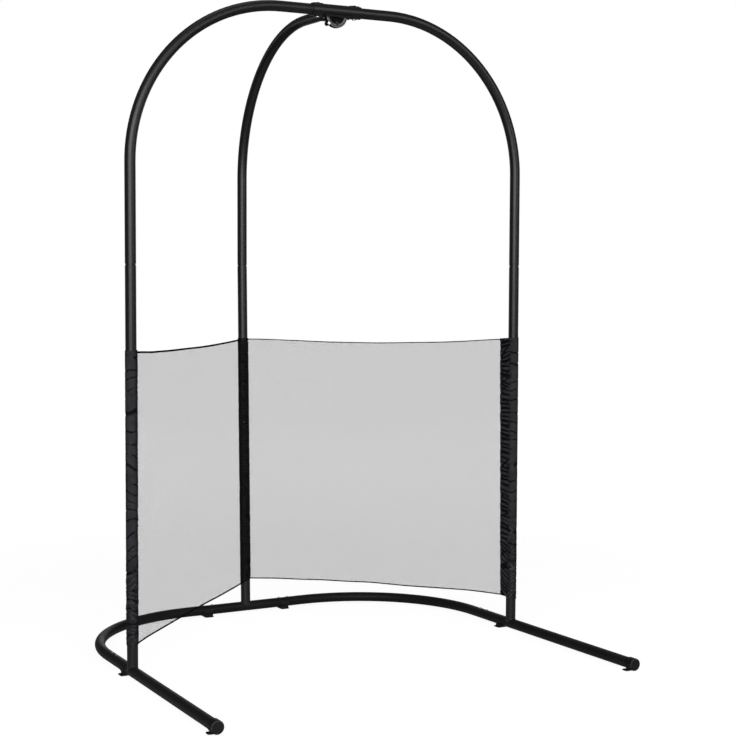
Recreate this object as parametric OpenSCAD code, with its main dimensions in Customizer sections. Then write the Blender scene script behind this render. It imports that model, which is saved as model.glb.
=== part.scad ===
// Three-legged arched garden frame with a low net screen and a cord pulley under its top.
// Millimetres, +Z up. The origin is on the ground, at the middle of the outline's width and depth.
// The front is -Y: two legs and two forward feet. The third leg stands behind, in the middle.

/* [Tubes] */
// Outside diameter of the legs, the base and the arches
tube_d = 38; // [32:1:45]
// Wall of those tubes
tube_wall = 1.5; // [1:0.1:2.5]
// Centreline radius of the arches
bend_r = 560; // [460:5:590]

/* [Stance] */
// Distance between the centrelines of the two front legs
leg_span = 1558; // [1540:1:1800]
// Distance from the front legs back to the foot of the back leg
back_depth = 770; // [720:1:900]
// Backward lean of the back leg up to its joint, in degrees
back_lean = 1.3; // [0:0.1:3]
// Outward splay of the side tubes, in degrees
side_splay = 1; // [0:0.1:3]
// Length of a side tube in front of its leg
front_reach = 745; // [500:5:900]
// Length of a side tube behind its leg, up to the corner tube
side_joint = 47; // [40:1:60]
// Half the length of the tee tube that carries the back leg
back_joint = 169; // [120:1:190]
// Straight end of a corner tube between its bend and the back joint
corner_straight = 76.5; // [25:0.5:110]
// Height of the base tubes' centreline above the ground
base_lift = 25; // [24:0.5:40]
// Height of the top tubes' centreline above the base tubes' centreline
arch_rise = 2292; // [2100:1:2500]
// Height of the leg joint above the base tubes' centreline
leg_joint = 1387; // [1200:1:1500]

/* [Tube joints] */
// Gap between a piece and what it slides into or over, per side
fit_gap = 0.1; // [0.05:0.05:0.4]
// Length of a back joint's inner sleeve, half of it in each tube
inner_sleeve_len = 120; // [90:1:160]
// Length of a side joint's inner sleeve inside the side tube
side_sleeve_in = 35; // [25:1:45]
// Distance from that sleeve's other end to the start of the corner tube's bend
side_sleeve_clear = 18.5; // [10:0.5:30]
// Place of a side joint's first screw, as a share of the sleeve's length in the corner tube
side_screw_first = 0.6; // [0.5:0.01:0.62]
// Place of its second screw, as a share of that length
side_screw_second = 0.82; // [0.8:0.01:0.92]
// Wall of the inner sleeves and of the leg stubs
inner_wall = 2; // [1.5:0.1:3]
// Height of a leg stub above the base tubes' centreline
stub_h = 130; // [100:1:200]
// Length of the narrowed end of an upper leg
swage_len = 90; // [60:1:150]
// Ring of narrowed tube that shows at a leg joint
swage_gap = 5.5; // [2:0.5:10]
// Distance from a back joint to each of its two screws
screw_offset = 19.5; // [12:0.5:30]
// Height of a leg's screw above the base tubes' centreline
leg_screw_h = 66; // [50:1:90]
// Thread diameter of the joint screws
screw_d = 5; // [4:0.5:6]
// Length of the joint screws under the head
screw_len = 12; // [8:1:16]
// Diameter of the screws' pan heads
screw_head_d = 9.5; // [8:0.5:12]
// Height of the screws' pan heads
screw_head_h = 2.6; // [2:0.1:4]

/* [Feet] */
// Distance from a front leg back to the middle of its foot
side_foot = 60; // [45:1:90]
// Length of a foot along its tube
foot_len = 36; // [30:1:50]
// Width of a foot's ground plate across its tube
foot_plate_w = 54; // [44:1:70]
// Thickness of the ground plates
foot_plate_t = 3; // [2:0.5:5]
// Wall of a foot's clip around its tube
foot_clip_t = 2.4; // [1.5:0.1:4]
// Width of the neck between a foot's clip and its plate
foot_neck_w = 30; // [20:1:36]
// Height that a clip reaches above its tube's centreline
foot_clip_rise = 5; // [2:0.5:10]
// Corner radius of the ground plates
foot_corner_r = 7; // [3:0.5:12]

/* [End caps] */
// Length of an end cap's collar
cap_len = 31; // [22:1:45]
// Wall of an end cap's collar
cap_wall = 3; // [2:0.1:4]
// Thickness of an end cap's face
cap_face_t = 4; // [3:0.5:6]
// Radius of an end cap's rounded front edge
cap_round = 3; // [1:0.5:3.5]
// Width of an end cap's ground plate
cap_plate_w = 44; // [40:1:60]
// Length of an end cap's ground plate
cap_plate_len = 27; // [20:1:40]
// Distance from the end of the tube to the back edge of an end cap's ground plate
cap_plate_end = 44; // [30:1:50]

/* [Hub] */
// Wall of the three-way top connector
hub_wall = 3.4; // [2.5:0.1:5]
// Reach of each arm of the connector from its centre
hub_arm = 97.5; // [88:0.5:130]
// Distance from the centre to each connector bolt
hub_bolt_at = 73.5; // [70:0.5:80]
// Distance from the centre to the ends of the three arch tubes
hub_tube_stop = 30; // [26:1:45]
// Thread diameter of the connector bolts
hub_bolt_d = 8; // [6:0.5:10]
// Diameter of the connector bolts' heads
hub_head_d = 16; // [14:0.5:20]
// Height of the heads above the washers
hub_head_proud = 0.7; // [0.3:0.1:2]
// Length of the top saddle washers along their arm
top_washer_len = 34; // [26:1:40]
// Width of the top saddle washers across their arm
top_washer_w = 27; // [22:1:32]
// Thickness of the top saddle washers
top_washer_t = 2; // [1:0.1:3]
// Length and width of the bottom saddle washers
low_washer_w = 20; // [16:1:26]
// Thickness of the bottom saddle washers
low_washer_t = 1.4; // [1:0.1:2.5]
// Diameter of the round nuts under the connector
hub_nut_d = 12; // [11:0.5:16]
// Height of those nuts
hub_nut_h = 2.6; // [2:0.1:6]

/* [Pulley block] */
// Length of the saddle plate under the connector
saddle_len = 106; // [96:1:110]
// Thickness of the saddle plate
saddle_t = 4; // [2.5:0.1:5]
// Height of the saddle plate's edges below the connector's centreline
saddle_edge = 15; // [10:0.5:18]
// Radius of the half-round cheeks
cheek_r = 42.5; // [40:0.5:50]
// Height of the cheeks' centre below the connector's centreline
cheek_drop = 17; // [14:0.5:20]
// Thickness of a cheek's web
cheek_t = 3; // [2:0.1:4]
// Clear width between the cheeks
cheek_gap = 11; // [10:0.5:16]
// Width of the half-round rim along a cheek's edge
bead_d = 13; // [10:0.5:15]
// Height of the wheel's axle below the connector's centreline
axle_drop = 43.5; // [43:0.5:46]
// Diameter of the pulley wheel
wheel_d = 29; // [22:0.5:30]
// Gap between the wheel and each cheek
wheel_side_gap = 0.5; // [0.3:0.1:1]
// Radius of the wheel's cord groove
groove_r = 3.4; // [2:0.1:4]
// Diameter of the axle bolt
axle_d = 8; // [6:0.5:9]
// Running gap between the axle and the wheel's bush, per side
axle_gap = 0.05; // [0.02:0.01:0.1]
// Wall of the wheel's bush
bush_wall = 2; // [1.5:0.1:2.5]
// Diameter of the axle bolt's low head
axle_head_d = 14; // [12:0.5:16]
// Height of that head
axle_head_h = 2.5; // [2:0.1:4]
// Width of the axle nut across its corners
axle_nut_d = 15; // [13:0.5:17]
// Height of the axle nut
axle_nut_h = 5; // [4:0.5:7]
// Distance of the cord anchor bolt from the middle plane
anchor_x = 33; // [31:0.5:35]
// Height of the anchor bolt below the connector's centreline
anchor_drop = 45.5; // [43:0.5:48]
// Radius of the cheeks' ears around the anchor bolt
ear_r = 8; // [7:0.5:9]
// Diameter of the anchor bolt
anchor_d = 6; // [5:0.5:7]
// Diameter of the spacer tube on the anchor bolt
anchor_spacer_d = 10; // [9:0.5:12]
// Diameter of the anchor bolt's head and nut
anchor_head_d = 11; // [9:0.5:13]
// Height of the anchor bolt's head and nut
anchor_head_h = 3.5; // [2:0.1:5]

/* [Net] */
// Height of the net screen between its hems' outer edges
net_h = 992; // [850:1:1050]
// Height of the screen's lower edge above the ground at the left leg
net_low_left = 120; // [118:1:180]
// Height of the screen's lower edge above the ground at the back leg
net_low_back = 128; // [118:1:180]
// Height of the screen's lower edge above the ground at the right leg
net_low_right = 138; // [118:1:180]
// Thickness of the net panels
net_t = 1; // [1:0.1:4]
// Height of the hem tapes
hem_h = 6; // [4:0.5:20]
// Thickness of the hem tapes
hem_t = 4; // [2.5:0.1:6]
// Gap between a leg and its fabric sleeve
sleeve_gap = 0.3; // [0.2:0.1:1]
// Thickness of a fabric sleeve around its leg
sleeve_t = 2.2; // [1:0.1:4]
// Width of the gathered flap from a front leg's surface to its net panel
flap_w = 30; // [20:1:50]
// Thickness of that flap
flap_t = 6; // [4:0.5:10]

/* [Hidden] */
$fn = 64;

// A cut runs this far past the surface that it opens
over = 1;

// Radii of the tubes and of what goes inside and around them
tube_r = tube_d / 2;
bore_r = tube_r - tube_wall;
inner_r = bore_r - fit_gap;
inner_bore_r = inner_r - inner_wall;
swage_bore_r = inner_r - tube_wall;
hub_bore_r = tube_r + fit_gap;
hub_r = hub_bore_r + hub_wall;
screw_r = screw_d / 2;

// Plan of the base: a corner tube runs on in line with its side tube, bends by 90 degrees and meets
// the tee tube at the side tubes' splay, so its inner sleeve sits halfway between the two directions
leg_x = leg_span / 2;
corner_r = (leg_x - back_joint) * cos(side_splay) - back_depth * sin(side_splay) - corner_straight;
corner_start = (leg_x - back_joint) * sin(side_splay) + back_depth * cos(side_splay) - corner_r;
corner_run = corner_start - side_joint;
side_sleeve_out = corner_run - side_sleeve_clear;
side_screws = [side_screw_first * side_sleeve_out, side_screw_second * side_sleeve_out];
seam_gap = tube_r * sin(side_splay);
sleeve_play = fit_gap + inner_sleeve_len / 2 * sin(side_splay / 2);
screw_play = fit_gap + screw_offset * sin(side_splay / 2);
foot_play = fit_gap + foot_len / 2 * sin(side_splay / 2);

// Height of the top tubes, and how far back the upper back leg stands
top_z = base_lift + arch_rise;
back_reach = back_depth + leg_joint * tan(back_lean);

// The front legs stand where the outline's middle is the origin
cap_r = tube_r + fit_gap + cap_wall;
front_edge = (front_reach + cap_face_t) * cos(side_splay) + (cap_r - cap_round) * sin(side_splay);
leg_y = (front_edge - back_reach - tube_r) / 2;

// Pulley block
saddle_in_r = hub_r + fit_gap;
saddle_out_r = saddle_in_r + saddle_t;
cheek_in = cheek_gap / 2;
cheek_out = cheek_in + cheek_t;
wheel_w = cheek_gap - 2 * wheel_side_gap;
axle_r = axle_d / 2;
bush_r = axle_r + axle_gap + bush_wall;
anchor_r = anchor_d / 2;

// Net screen: each panel stands in the vertical plane through its two legs at mid height
sleeve_in_r = tube_r + sleeve_gap;
sleeve_r = sleeve_in_r + sleeve_t;
flap_end = tube_r + flap_w;
net_mid_rise = net_low_back + net_h / 2 - base_lift;
net_run_y = back_depth + net_mid_rise * tan(back_lean);
net_run = sqrt(leg_x * leg_x + net_run_y * net_run_y);
net_angle = atan2(net_run_y, leg_x);

// ---------- placing ----------

// Foot of a front leg on its base tube; +Y runs back along the splayed side tube
module at_side(side) {
    translate([side * leg_x, leg_y, base_lift]) rotate([0, 0, side * side_splay]) children();
}

// Foot of the back leg on the tee tube, upright
module at_back() {
    translate([0, leg_y + back_depth, base_lift]) children();
}

// A base joint: +Y runs along the tubes, away from the front leg
module at_side_joint(side) {
    at_side(side) translate([0, side_joint, 0]) children();
}

// A joint of the tee tube: +X runs outwards, turned by a share of the splay that the corner tube has
module at_back_joint(side, share) {
    at_back() translate([side * back_joint, 0, 0]) rotate([0, 0, side * side_splay * share])
        mirror([side < 0 ? 1 : 0, 0, 0]) children();
}

// Foot of a leg, turned so that the hub lies towards -X: 0 right, 90 back, 180 left
module at_leg(turn) {
    if (turn == 90) at_back() rotate([0, 0, 90]) children();
    else translate([turn == 0 ? leg_x : -leg_x, leg_y, base_lift]) rotate([0, 0, turn]) children();
}

// Centre of the three-way connector
module at_hub() {
    translate([0, leg_y, top_z]) children();
}

// The three connector bolts, each with its arm along X
module at_hub_bolts() {
    at_hub() for (turn = [0, 90, 180]) rotate([0, 0, turn]) translate([hub_bolt_at, 0, 0]) children();
}

// Cylinder along +Y
module rod_y(r, from, to) {
    translate([0, from, 0]) rotate([-90, 0, 0]) cylinder(r = r, h = to - from);
}

// Cylinder along +X
module rod_x(r, from, to) {
    translate([from, 0, 0]) rotate([0, 90, 0]) cylinder(r = r, h = to - from);
}

// Flat plate with round corners, its lower face at z = 0
module round_plate(w, len, t, r) {
    translate([-w / 2 + r, -len / 2, 0]) cube([w - 2 * r, len, t]);
    translate([-w / 2, -len / 2 + r, 0]) cube([w, len - 2 * r, t]);
    for (x = [-1, 1], y = [-1, 1]) translate([x * (w / 2 - r), y * (len / 2 - r), 0]) cylinder(r = r, h = t);
}

// ---------- base ----------

// Hole in the top of a tube for a joint's screw
module screw_hole(play = fit_gap) {
    cylinder(r = screw_r + play, h = tube_r + over);
}

// Stub that a leg slides over, with the hole for the leg's screw at its back
module leg_stub() {
    difference() {
        cylinder(r = inner_r, h = stub_h);
        cylinder(r = inner_bore_r, h = stub_h + over);
        leg_screw_hole();
    }
}

module leg_screw_hole() {
    translate([0, 0, leg_screw_h]) rod_y(screw_r + fit_gap, 0, tube_r + over);
}

module side_tube(side) {
    color("#26272a") at_side(side) difference() {
        union() {
            rod_y(tube_r, -front_reach, side_joint);
            difference() {
                rotate([0, 0, -side * side_splay]) leg_stub();
                rod_y(tube_r, -tube_d, tube_d);
            }
        }
        rod_y(bore_r, -front_reach - over, side_joint + over);
    }
}

module back_tee_tube() {
    color("#26272a") at_back() difference() {
        union() {
            rod_x(tube_r, -back_joint, back_joint);
            difference() {
                rotate([-back_lean, 0, 0]) leg_stub();
                rod_x(tube_r, -tube_d, tube_d);
            }
        }
        rod_x(bore_r, -back_joint - over, back_joint + over);
        for (side = [-1, 1]) translate([side * (back_joint - screw_offset), 0, 0]) screw_hole();
    }
}

// Solid rod around a bend's centre: it runs in along +Y, bends by 90 degrees and runs out along -X
module bent_rod(r, bend, run_in, run_out) {
    translate([bend, 0, 0]) rod_y(r, -run_in, 0);
    rotate_extrude(angle = 90) translate([bend, 0]) circle(r = r);
    translate([0, bend, 0]) rod_x(r, -run_out, 0);
}

module corner_tube() {
    color("#26272a") at_side(1) translate([-corner_r, corner_start, 0]) difference() {
        bent_rod(tube_r, corner_r, corner_run, corner_straight - seam_gap);
        bent_rod(bore_r, corner_r, corner_run + over, corner_straight + over);
        for (at = side_screws) translate([corner_r, at - corner_run, 0]) screw_hole();
        translate([screw_offset - corner_straight, corner_r, 0]) screw_hole();
    }
}

module side_inner_sleeve() {
    color("#8c8f94") difference() {
        rod_y(inner_r, -side_sleeve_in, side_sleeve_out);
        rod_y(inner_bore_r, -side_sleeve_in - over, side_sleeve_out + over);
        for (at = side_screws) translate([0, at, 0]) screw_hole();
    }
}

// Sleeve of a back joint, a little slack for the turn between its two tubes
module back_inner_sleeve() {
    color("#8c8f94") difference() {
        rod_x(bore_r - sleeve_play, -inner_sleeve_len / 2, inner_sleeve_len / 2);
        rod_x(bore_r - sleeve_play - inner_wall, -inner_sleeve_len / 2 - over, inner_sleeve_len / 2 + over);
        for (dir = [-1, 1]) translate([dir * screw_offset, 0, 0]) screw_hole(screw_play);
    }
}

// Pan-head screw standing in a hole, its head's seat at z = 0
module pan_screw() {
    difference() {
        union() {
            translate([0, 0, -screw_len]) cylinder(r = screw_r, h = screw_len);
            cylinder(r = screw_head_d / 2, h = screw_head_h * 0.6);
            translate([0, 0, screw_head_h * 0.6])
                cylinder(r1 = screw_head_d / 2, r2 = screw_head_d / 3, h = screw_head_h * 0.4, $fn = 48);
        }
        for (turn = [0, 90]) rotate([0, 0, turn])
            translate([-screw_head_d / 4, -0.5, screw_head_h * 0.5]) cube([screw_head_d / 2, 1, screw_head_h]);
    }
}

module base_joint_screws() {
    color("#b9bcc0") for (side = [-1, 1]) {
        for (at = side_screws) at_side_joint(side) translate([0, at, tube_r]) pan_screw();
        at_back_joint(side, 0) translate([-screw_offset, 0, tube_r]) pan_screw();
        at_back_joint(side, 1) translate([screw_offset, 0, tube_r]) pan_screw();
    }
}

module leg_screws() {
    color("#b9bcc0") {
        for (side = [-1, 1]) translate([side * leg_x, leg_y, base_lift + leg_screw_h])
            translate([0, tube_r, 0]) rotate([-90, 0, 0]) pan_screw();
        at_back() rotate([-back_lean, 0, 0])
            translate([0, tube_r, leg_screw_h]) rotate([-90, 0, 0]) pan_screw();
    }
}

// ---------- feet ----------

// Clip-on foot, its tube along Y at z = 0
module clip_foot() {
    color("#17181a") difference() {
        union() {
            intersection() {
                rod_y(tube_r + foot_clip_t, -foot_len / 2, foot_len / 2);
                translate([-tube_d, -foot_len, foot_clip_rise - 2 * tube_d]) cube([2 * tube_d, 2 * foot_len, 2 * tube_d]);
            }
            translate([-foot_neck_w / 2, -foot_len / 2, foot_plate_t - base_lift])
                cube([foot_neck_w, foot_len, base_lift - foot_plate_t]);
            translate([0, 0, -base_lift]) round_plate(foot_plate_w, foot_len, foot_plate_t, foot_corner_r);
        }
        rod_y(tube_r + foot_play, -foot_len, foot_len);
    }
}

// Closed cap over a side tube's front end, with a ground plate below and behind it
module end_cap() {
    back = cap_len - cap_face_t;
    plate_from = cap_plate_end - cap_plate_len;
    color("#17181a") difference() {
        union() {
            rod_y(cap_r, cap_round - cap_face_t, back);
            rod_y(cap_r - cap_round, -cap_face_t, cap_round);
            translate([0, cap_round - cap_face_t, 0]) rotate([90, 0, 0])
                rotate_extrude() translate([cap_r - cap_round, 0]) circle(r = cap_round);
            translate([-foot_neck_w / 2, plate_from, foot_plate_t - base_lift])
                cube([foot_neck_w, back - plate_from, base_lift - foot_plate_t]);
            translate([0, plate_from + cap_plate_len / 2, -base_lift])
                round_plate(cap_plate_w, cap_plate_len, foot_plate_t, foot_corner_r);
        }
        rod_y(tube_r + fit_gap, 0, cap_plate_end + over);
    }
}

// ---------- legs ----------

// Straight lower leg, coped onto its base tube and open over the stub
module lower_leg(turn, lean) {
    color("#26272a") at_leg(turn) difference() {
        rotate([0, lean, 0]) cylinder(r = tube_r, h = leg_joint / cos(lean) - swage_gap / 2);
        rotate([0, lean, 0]) cylinder(r = bore_r, h = 2 * leg_joint);
        rotate([0, 0, turn == 90 ? 0 : turn == 0 ? side_splay : 180 - side_splay])
            rod_y(tube_r + fit_gap, -tube_d, tube_d);
        rotate([0, lean, turn == 90 ? 0 : 90 - turn]) translate([0, 0, leg_screw_h])
            rod_x(screw_r + fit_gap, 0, tube_r + over);
    }
}

// Upper leg at the given reach from the hub: upright, then bent over to the hub. Its narrowed end
// follows the lean of the lower leg that it goes into.
module upper_leg(turn, lean, reach) {
    run_in = arch_rise - bend_r - leg_joint - swage_gap / 2;
    run_out = reach - bend_r - hub_tube_stop;
    color("#26272a") at_hub() rotate([0, 0, turn]) translate([reach, 0, -bend_r]) difference() {
        union() {
            translate([-bend_r, 0, 0]) rotate([90, 0, 0]) bent_rod(tube_r, bend_r, run_in, run_out);
            translate([0, 0, bend_r + leg_joint - arch_rise]) rotate([0, lean, 0])
                translate([0, 0, -swage_len]) cylinder(r = inner_r, h = swage_len + (swage_gap + tube_wall) / 2);
        }
        translate([-bend_r, 0, 0]) rotate([90, 0, 0]) bent_rod(bore_r, bend_r, run_in - tube_wall, run_out + over);
        translate([0, 0, bend_r + leg_joint - arch_rise]) rotate([0, lean, 0])
            translate([0, 0, -swage_len - over]) cylinder(r = swage_bore_r, h = swage_len + tube_d);
        translate([hub_bolt_at - reach, 0, bend_r - tube_d])
            cylinder(r = hub_bolt_d / 2 + fit_gap, h = 2 * tube_d);
    }
}

// ---------- hub ----------

module top_connector() {
    color("#26272a") at_hub() difference() {
        union() {
            rod_x(hub_r, -hub_arm, hub_arm);
            rod_y(hub_r, 0, hub_arm);
        }
        rod_x(hub_bore_r, -hub_arm - over, hub_arm + over);
        rod_y(hub_bore_r, 0, hub_arm + over);
        for (turn = [0, 90, 180]) rotate([0, 0, turn]) translate([hub_bolt_at, 0, -2 * hub_r])
            cylinder(r = hub_bolt_d / 2 + fit_gap, h = 4 * hub_r);
    }
}

// Curved washer that hugs an arm along X: above the arm for dir 1 and below it for dir -1
module saddle_washer(dir, len, w, t, hole_r) {
    difference() {
        intersection() {
            rod_x(hub_r + t, -len / 2, len / 2);
            translate([-len / 2, -w / 2, dir > 0 ? 0 : -2 * hub_r]) cube([len, w, 2 * hub_r]);
        }
        rod_x(hub_r + fit_gap / 2, -len, len);
        translate([0, 0, dir > 0 ? 0 : -2 * hub_r]) cylinder(r = hole_r, h = 2 * hub_r);
    }
}

module top_saddle_washers() {
    color("#1c1d1f") at_hub_bolts()
        saddle_washer(1, top_washer_len, top_washer_w, top_washer_t, hub_head_d / 2 + fit_gap);
}

module low_saddle_washers() {
    color("#1c1d1f") at_hub_bolts()
        saddle_washer(-1, low_washer_w, low_washer_w, low_washer_t, hub_bolt_d / 2 + fit_gap);
}

module connector_bolts() {
    head_top = hub_r + top_washer_t + hub_head_proud;
    low_end = hub_r + low_washer_t + hub_nut_h;
    color("#303236") at_hub_bolts() difference() {
        union() {
            translate([0, 0, hub_r]) cylinder(r = hub_head_d / 2, h = head_top - hub_r);
            translate([0, 0, -low_end]) cylinder(r = hub_bolt_d / 2, h = low_end + hub_r);
        }
        translate([0, 0, head_top - hub_head_d / 8])
            cylinder(r = hub_head_d / 5, h = hub_head_d / 8 + over, $fn = 6);
    }
}

module connector_nuts() {
    color("#c8cacd") at_hub_bolts() translate([0, 0, -hub_r - low_washer_t - hub_nut_h]) difference() {
        cylinder(r = hub_nut_d / 2, h = hub_nut_h);
        translate([0, 0, -over]) cylinder(r = hub_bolt_d / 2 + fit_gap / 2, h = hub_nut_h + 2 * over);
    }
}

// ---------- pulley block ----------

module hanger_saddle() {
    color("#2c2e31") at_hub() difference() {
        intersection() {
            rod_x(saddle_out_r, -saddle_len / 2, saddle_len / 2);
            translate([-saddle_len / 2, -2 * hub_r, -4 * hub_r - saddle_edge]) cube([saddle_len, 4 * hub_r, 4 * hub_r]);
        }
        rod_x(saddle_in_r, -saddle_len, saddle_len);
        rod_y(saddle_in_r, 0, hub_arm);
    }
}

// Place of the anchor bolt in the block, seen from the front
module at_anchor() {
    translate([-anchor_x, 0, -anchor_drop]) children();
}

// Half-round cheek with a half-round rim along its round edge and an ear; dir is -1 in front and 1 behind
module pulley_cheek(dir) {
    web_from = dir > 0 ? cheek_in : -cheek_out;
    web_r = cheek_r - bead_d / 4;
    head_from = dir > 0 ? cheek_out : -cheek_r;
    color("#1b1c1f") at_hub() difference() {
        union() {
            intersection() {
                translate([0, 0, -cheek_drop]) rod_y(web_r, web_from, web_from + cheek_t);
                translate([-cheek_r, -cheek_r, -cheek_drop - cheek_r]) cube([2 * cheek_r, 2 * cheek_r, cheek_r]);
            }
            translate([0, dir * cheek_in, -cheek_drop]) rotate([90, 0, 0]) rotate([0, 0, 180])
                rotate_extrude(angle = 180) translate([cheek_r - bead_d / 2, 0]) circle(r = bead_d / 2);
            at_anchor() rod_y(ear_r, web_from, web_from + cheek_t);
        }
        translate([-2 * cheek_r, -cheek_in, -3 * cheek_r]) cube([4 * cheek_r, 2 * cheek_in, 3 * cheek_r]);
        rod_x(saddle_out_r + fit_gap / 2, -saddle_len, saddle_len);
        translate([0, 0, -axle_drop]) {
            rod_y(axle_r + fit_gap, -cheek_r, cheek_r);
            rod_y(axle_nut_d / 2 + fit_gap, head_from, head_from + cheek_r - cheek_out);
        }
        at_anchor() rod_y(anchor_r + fit_gap, -cheek_r, cheek_r);
        at_anchor() rod_y(anchor_head_d / 2 + fit_gap, head_from, head_from + cheek_r - cheek_out);
    }
}

module at_axle() {
    at_hub() translate([0, 0, -axle_drop]) children();
}

module pulley_wheel() {
    color("#101113") at_axle() difference() {
        rod_y(wheel_d / 2, -wheel_w / 2, wheel_w / 2);
        rotate([90, 0, 0]) rotate_extrude() translate([wheel_d / 2, 0]) circle(r = groove_r);
        rod_y(bush_r, -wheel_w, wheel_w);
    }
}

module wheel_bush() {
    color("#77797c") at_axle() difference() {
        rod_y(bush_r, -wheel_w / 2, wheel_w / 2);
        rod_y(axle_r + axle_gap, -wheel_w, wheel_w);
    }
}

module axle_bolt() {
    color("#303236") at_axle() difference() {
        union() {
            rod_y(axle_head_d / 2, -cheek_out - axle_head_h, -cheek_out);
            rod_y(axle_r, -cheek_out, cheek_out + axle_nut_h);
        }
        translate([0, -cheek_out - axle_head_h - over, 0]) rotate([-90, 0, 0])
            cylinder(r = axle_head_d / 5, h = axle_head_h * 0.6 + over, $fn = 6);
    }
}

module axle_nut() {
    color("#303236") at_axle() difference() {
        translate([0, cheek_out, 0]) rotate([-90, 0, 0]) cylinder(r = axle_nut_d / 2, h = axle_nut_h, $fn = 6);
        rod_y(axle_r + fit_gap / 2, cheek_in, cheek_out + 2 * axle_nut_h);
    }
}

module anchor_bolt() {
    color("#c8cacd") at_hub() at_anchor() {
        rod_y(anchor_r, -cheek_out, cheek_out + anchor_head_h);
        translate([0, -cheek_out - anchor_head_h, 0]) rotate([-90, 0, 0])
            cylinder(r = anchor_head_d / 2, h = anchor_head_h, $fn = 6);
    }
}

module anchor_spacer() {
    color("#8c8f94") at_hub() at_anchor() difference() {
        rod_y(anchor_spacer_d / 2, -cheek_in, cheek_in);
        rod_y(anchor_r + fit_gap, -cheek_gap, cheek_gap);
    }
}

module anchor_nut() {
    color("#c8cacd") at_hub() at_anchor() difference() {
        translate([0, cheek_out, 0]) rotate([-90, 0, 0]) cylinder(r = anchor_head_d / 2, h = anchor_head_h, $fn = 6);
        rod_y(anchor_r + fit_gap / 2, cheek_in, cheek_out + 2 * anchor_head_h);
    }
}

// ---------- net screen ----------

// Foot of a front leg on the ground; +X runs along the panel's plane to the back leg
module at_panel(side) {
    translate([side * leg_x, leg_y, 0]) rotate([0, 0, side < 0 ? net_angle : 180 - net_angle]) children();
}

// The back leg's sleeve as one solid rod, to cut the panels where they meet it
module back_sleeve_rod(r) {
    at_back() rotate([-back_lean, 0, 0]) cylinder(r = r, h = leg_joint);
}

function net_low_front(side) = side < 0 ? net_low_left : net_low_right;

// Upright strip of a panel between two heights above its lower edge
module panel_strip(side, t, from, to) {
    low = net_low_front(side);
    rise = (net_low_back - low) / net_run;
    difference() {
        at_panel(side) rotate([90, 0, 0]) translate([0, 0, -t / 2]) linear_extrude(height = t) polygon([
            [flap_end, low + rise * flap_end + from],
            [net_run, net_low_back + from],
            [net_run, net_low_back + to],
            [flap_end, low + rise * flap_end + to]
        ]);
        back_sleeve_rod(sleeve_r + sleeve_gap);
    }
}

module net_panel(side) {
    color("#3a3c40", 0.35) panel_strip(side, net_t, hem_h, net_h - hem_h);
}

module hem_tapes(side) {
    color("#101113") {
        panel_strip(side, hem_t, 0, hem_h);
        panel_strip(side, hem_t, net_h - hem_h, net_h);
    }
}

// Fabric tube around a front leg with its gathered flap towards the net
module leg_sleeve(side) {
    color("#1a1b1e") at_panel(side) translate([0, 0, net_low_front(side)]) difference() {
        union() {
            cylinder(r = sleeve_r, h = net_h);
            translate([0, -flap_t / 2, 0]) cube([flap_end, flap_t, net_h]);
        }
        translate([0, 0, -over]) cylinder(r = sleeve_in_r, h = net_h + 2 * over);
    }
}

module leg_sleeve_back() {
    color("#1a1b1e") at_back() rotate([-back_lean, 0, 0])
        translate([0, 0, (net_low_back - base_lift) / cos(back_lean)]) difference() {
            cylinder(r = sleeve_r, h = net_h);
            translate([0, 0, -over]) cylinder(r = sleeve_in_r, h = net_h + 2 * over);
        }
}

// ---------- nodes ----------

side_tube(-1);  // side_tube_left
side_tube(1);  // side_tube_right
mirror([1, 0, 0]) corner_tube();  // corner_tube_left
corner_tube();  // corner_tube_right
back_tee_tube();
at_side_joint(-1) side_inner_sleeve();  // inner_sleeve_side_left
at_side_joint(1) side_inner_sleeve();  // inner_sleeve_side_right
at_back_joint(-1, 0.5) back_inner_sleeve();  // inner_sleeve_back_left
at_back_joint(1, 0.5) back_inner_sleeve();  // inner_sleeve_back_right
lower_leg(180, 0);  // lower_leg_left
lower_leg(0, 0);  // lower_leg_right
lower_leg(90, back_lean);  // lower_leg_back
upper_leg(180, 0, leg_x);  // upper_leg_left
upper_leg(0, 0, leg_x);  // upper_leg_right
upper_leg(90, back_lean, back_reach);  // upper_leg_back
base_joint_screws();
leg_screws();
at_side(-1) translate([0, side_foot, 0]) clip_foot();  // side_foot_left
at_side(1) translate([0, side_foot, 0]) clip_foot();  // side_foot_right
at_back_joint(-1, 0.5) rotate([0, 0, 90]) clip_foot();  // back_foot_left
at_back_joint(1, 0.5) rotate([0, 0, 90]) clip_foot();  // back_foot_right
at_side(-1) translate([0, -front_reach, 0]) end_cap();  // end_cap_left
at_side(1) translate([0, -front_reach, 0]) end_cap();  // end_cap_right
top_connector();
connector_bolts();
connector_nuts();
top_saddle_washers();
low_saddle_washers();
hanger_saddle();
pulley_cheek(-1);  // pulley_cheek_front
pulley_cheek(1);  // pulley_cheek_back
pulley_wheel();
wheel_bush();
axle_bolt();
axle_nut();
anchor_bolt();
anchor_spacer();
anchor_nut();
net_panel(-1);  // net_panel_left
net_panel(1);  // net_panel_right
hem_tapes(-1);  // hem_tapes_left
hem_tapes(1);  // hem_tapes_right
leg_sleeve(-1);  // leg_sleeve_left
leg_sleeve(1);  // leg_sleeve_right
leg_sleeve_back();
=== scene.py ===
"""Looks of a three-legged arched garden frame with a low net screen and a cord pulley under its top."""

import logging
import math
from dataclasses import dataclass
from enum import Enum
from typing import Any, ClassVar, Mapping, Sequence

import bmesh
import bpy
from mathutils import Matrix, Vector, noise


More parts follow.
